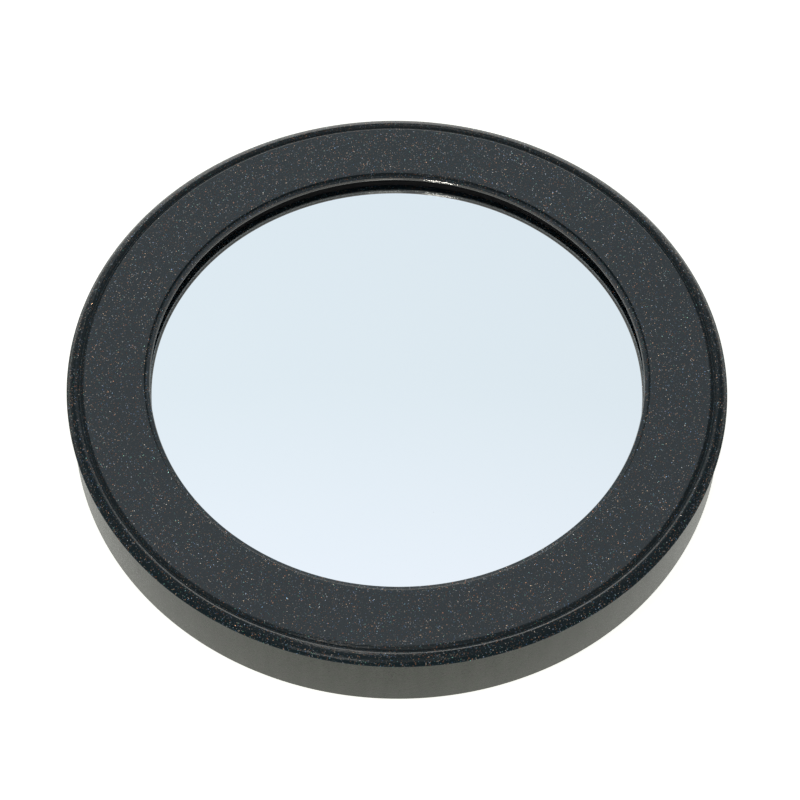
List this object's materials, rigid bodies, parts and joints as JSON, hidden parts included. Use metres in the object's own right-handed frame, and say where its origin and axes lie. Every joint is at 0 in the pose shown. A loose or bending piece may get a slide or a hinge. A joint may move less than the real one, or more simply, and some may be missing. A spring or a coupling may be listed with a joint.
{
  "type": "slip-on glass filter cell",
  "caption": "Round slip-on filter cell: flat mirror-coated glass recessed in a textured black bezel, on a plain felt-lined skirt that slides over an instrument barrel.",
  "frame": {"origin": "on the cell's axis, in the plane of the skirt's open rim that it stands on", "axes": "+Z along the cell's axis, out through the mirror-coated front; the cell is round, so +X and +Y only fix the screws, pads and felt strips"},
  "size_m": [0.12, 0.12, 0.0142],
  "materials": {
    "textured_coat": "fine textured powder coat, low sheen",
    "satin_black": "smooth satin coat",
    "mirror_glass": "vacuum-coated mirror on flat glass",
    "black_rubber": "matt",
    "grey_foam": "closed-cell foam",
    "anodised_black": "black anodised, lathe-turned",
    "black_steel": "black oxide",
    "black_felt": "pressed wool felt",
    "white_pad": "silicone"
  },
  "bodies": {
    "root": {"front_bezel": "textured_coat", "skirt_ring": "satin_black", "filter_glass": "mirror_glass", "front_gasket": "black_rubber", "rear_gasket": "grey_foam", "retaining_ring": "anodised_black", "retaining_screws": "black_steel", "felt_strip_1": "black_felt", "felt_strip_2": "black_felt", "felt_strip_3": "black_felt", "felt_strip_4": "black_felt", "edge_pad_1": "white_pad", "edge_pad_2": "white_pad", "edge_pad_3": "white_pad", "edge_pad_4": "white_pad"}
  },
  "joints": []
}
